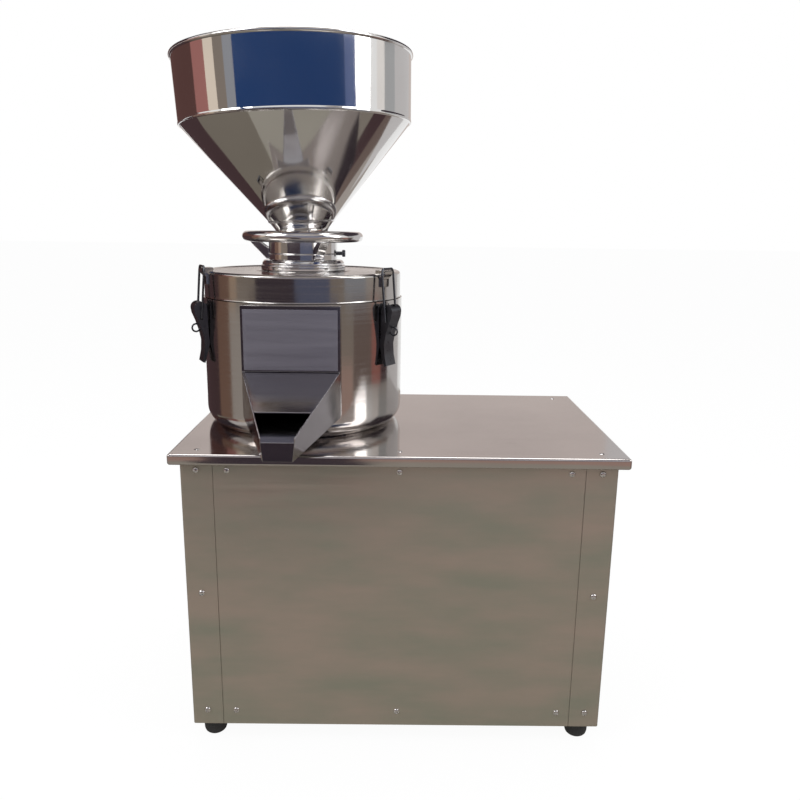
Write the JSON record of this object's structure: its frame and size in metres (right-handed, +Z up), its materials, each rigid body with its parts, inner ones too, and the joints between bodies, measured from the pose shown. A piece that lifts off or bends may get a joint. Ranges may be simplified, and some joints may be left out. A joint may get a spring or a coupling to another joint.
{
  "type": "electric nut grinder",
  "caption": "Floor-standing nut grinder: steel cabinet with belt drive, latched grinding drum, chute, adjusting handwheel and tall feed hopper.",
  "frame": {"origin": "on the floor, in the middle of the machine's overall footprint", "axes": "+Z up, -Y towards the front with the chute, +X to the right seen from the front"},
  "size_m": [0.6788, 0.5068, 1.0389],
  "materials": {
    "polished_steel": "mirror-polished stainless sheet",
    "tabletop_steel": "bright stainless sheet with a soft reflection",
    "panel_steel": "brushed stainless sheet, grain upright",
    "frame_steel": "grey primer",
    "rubber": "matt black",
    "bright_steel": "turned and polished",
    "blackened_steel": "dark, smooth, slightly glossy",
    "plate": "bare satin plate",
    "cast_iron": "as cast, machined where it fits",
    "grinding_stone": "gritty abrasive, pale grey",
    "motor_paint": "blue-grey enamel",
    "dark_plastic": "black moulded",
    "green_plastic": "moulded",
    "red_plastic": "moulded"
  },
  "bodies": {
    "cabinet": {"table_top": "tabletop_steel", "left_side_panel": "panel_steel", "right_side_panel": "panel_steel", "front_panel": "panel_steel", "back_panel": "panel_steel", "base_tray": "frame_steel", "front_top_rail": "frame_steel", "rear_top_rail": "frame_steel", "deck_plate": "frame_steel", "corner_post_front_left": "frame_steel", "corner_post_front_right": "frame_steel", "corner_post_rear_left": "frame_steel", "corner_post_rear_right": "frame_steel", "foot_front_left": "rubber", "foot_front_right": "rubber", "foot_rear_left": "rubber", "foot_rear_right": "rubber", "motor_bracket": "frame_steel", "motor_body": "motor_paint", "motor_end_bell": "cast_iron", "motor_terminal_box": "dark_plastic", "drive_belt": "rubber", "bearing_housing": "cast_iron", "upper_bearing": "bright_steel", "lower_bearing": "bright_steel", "spindle_seal": "rubber", "drum": "polished_steel", "discharge_chute": "polished_steel", "name_plate": "plate", "switch_box": "dark_plastic", "cable_gland": "dark_plastic", "latch_bracket_right": "blackened_steel", "latch_bracket_left": "blackened_steel", "latch_bracket_rear": "blackened_steel"},
    "spindle": {"spindle": "bright_steel", "spindle_pulley": "cast_iron", "rotor_plate": "cast_iron", "lower_grinding_wheel": "grinding_stone", "scraper": "polished_steel", "feed_screw": "polished_steel"},
    "motor_rotor": {"motor_shaft": "bright_steel", "motor_pulley": "cast_iron"},
    "lid": {"lid": "polished_steel", "lid_seal": "rubber", "neck_flange": "bright_steel"},
    "handwheel": {"adjusting_handwheel": "bright_steel"},
    "carrier": {"wheel_carrier": "bright_steel", "upper_grinding_wheel": "grinding_stone"},
    "hopper": {"hopper": "polished_steel"},
    "lock_screw": {"lock_screw": "blackened_steel"},
    "start_button": {"start_button": "green_plastic"},
    "stop_button": {"stop_button": "red_plastic"},
    "lever_right": {"latch_lever_right": "blackened_steel"},
    "bail_right": {"latch_bail_right": "blackened_steel"},
    "lever_left": {"latch_lever_left": "blackened_steel"},
    "bail_left": {"latch_bail_left": "blackened_steel"},
    "lever_rear": {"latch_lever_rear": "blackened_steel"},
    "bail_rear": {"latch_bail_rear": "blackened_steel"}
  },
  "joints": [
    {"name": "spindle_spin", "type": "hinge", "parent": "cabinet", "child": "spindle", "pos_m": [-0.14452, 0.0536, 0.4665], "axis": [0, 0, 1], "continuous": true},
    {"name": "motor_spin", "type": "hinge", "parent": "cabinet", "child": "motor_rotor", "pos_m": [0.12948, 0.0216, 0.28], "axis": [0, 0, 1], "continuous": true},
    {"name": "lid_lift", "type": "slide", "parent": "cabinet", "child": "lid", "axis": [0, 0, 1], "range_m": [0, 0.09]},
    {"name": "handwheel_turn", "type": "hinge", "parent": "lid", "child": "handwheel", "pos_m": [-0.14452, 0.0536, 0.6665], "axis": [0, 0, 1], "range_deg": [0, 360]},
    {"name": "wheel_gap", "type": "slide", "parent": "lid", "child": "carrier", "axis": [0, 0, 1], "range_m": [0, 0.00305]},
    {"name": "hopper_lift", "type": "slide", "parent": "carrier", "child": "hopper", "axis": [-0.0366, 0, 0.9993], "range_m": [0, 0.12]},
    {"name": "lock_screw_turn", "type": "hinge", "parent": "handwheel", "child": "lock_screw", "pos_m": [-0.08453, 0.0536, 0.7383], "axis": [1, 0, 0], "range_deg": [0, 360]},
    {"name": "start_press", "type": "slide", "parent": "cabinet", "child": "start_button", "axis": [0, -1, 0], "range_m": [0, 0.004], "stiffness_N_per_m": 400, "springref_m": -0.002},
    {"name": "stop_press", "type": "slide", "parent": "cabinet", "child": "stop_button", "axis": [0, -1, 0], "range_m": [0, 0.004], "stiffness_N_per_m": 400, "springref_m": -0.002},
    {"name": "lever_open_right", "type": "hinge", "parent": "cabinet", "child": "lever_right", "pos_m": [-0.00069, -0.03981, 0.6565], "axis": [-0.5446, -0.8387, 0], "range_deg": [0, 85.5]},
    {"name": "bail_swing_right", "type": "hinge", "parent": "lever_right", "child": "bail_right", "pos_m": [-0.00136, -0.03937, 0.6405], "axis": [0.5446, 0.8387, 0], "range_deg": [0, 265.5]},
    {"name": "lever_open_left", "type": "hinge", "parent": "cabinet", "child": "lever_left", "pos_m": [-0.29733, -0.02426, 0.6565], "axis": [-0.454, 0.891, 0], "range_deg": [0, 85.5]},
    {"name": "bail_swing_left", "type": "hinge", "parent": "lever_left", "child": "bail_left", "pos_m": [-0.29662, -0.0239, 0.6405], "axis": [0.454, -0.891, 0], "range_deg": [0, 265.5]},
    {"name": "lever_open_rear", "type": "hinge", "parent": "cabinet", "child": "lever_rear", "pos_m": [-0.13555, 0.22487, 0.6565], "axis": [0.9986, -0.0523, 0], "range_deg": [0, 85.5]},
    {"name": "bail_swing_rear", "type": "hinge", "parent": "lever_rear", "child": "bail_rear", "pos_m": [-0.13559, 0.22407, 0.6405], "axis": [-0.9986, 0.0523, 0], "range_deg": [0, 265.5]}
  ],
  "couplings": [
    {"joint": "motor_spin", "follows": "spindle_spin", "ratio": 1.5},
    {"joint": "wheel_gap", "follows": "handwheel_turn", "m_per_rad": 0.00047746},
    {"joint": "lever_open_right", "follows": "lid_lift", "rad_per_m": 16.484},
    {"joint": "bail_swing_right", "follows": "lid_lift", "rad_per_m": 51.39},
    {"joint": "lever_open_left", "follows": "lid_lift", "rad_per_m": 16.484},
    {"joint": "bail_swing_left", "follows": "lid_lift", "rad_per_m": 51.39},
    {"joint": "lever_open_rear", "follows": "lid_lift", "rad_per_m": 16.484},
    {"joint": "bail_swing_rear", "follows": "lid_lift", "rad_per_m": 51.39}
  ]
}
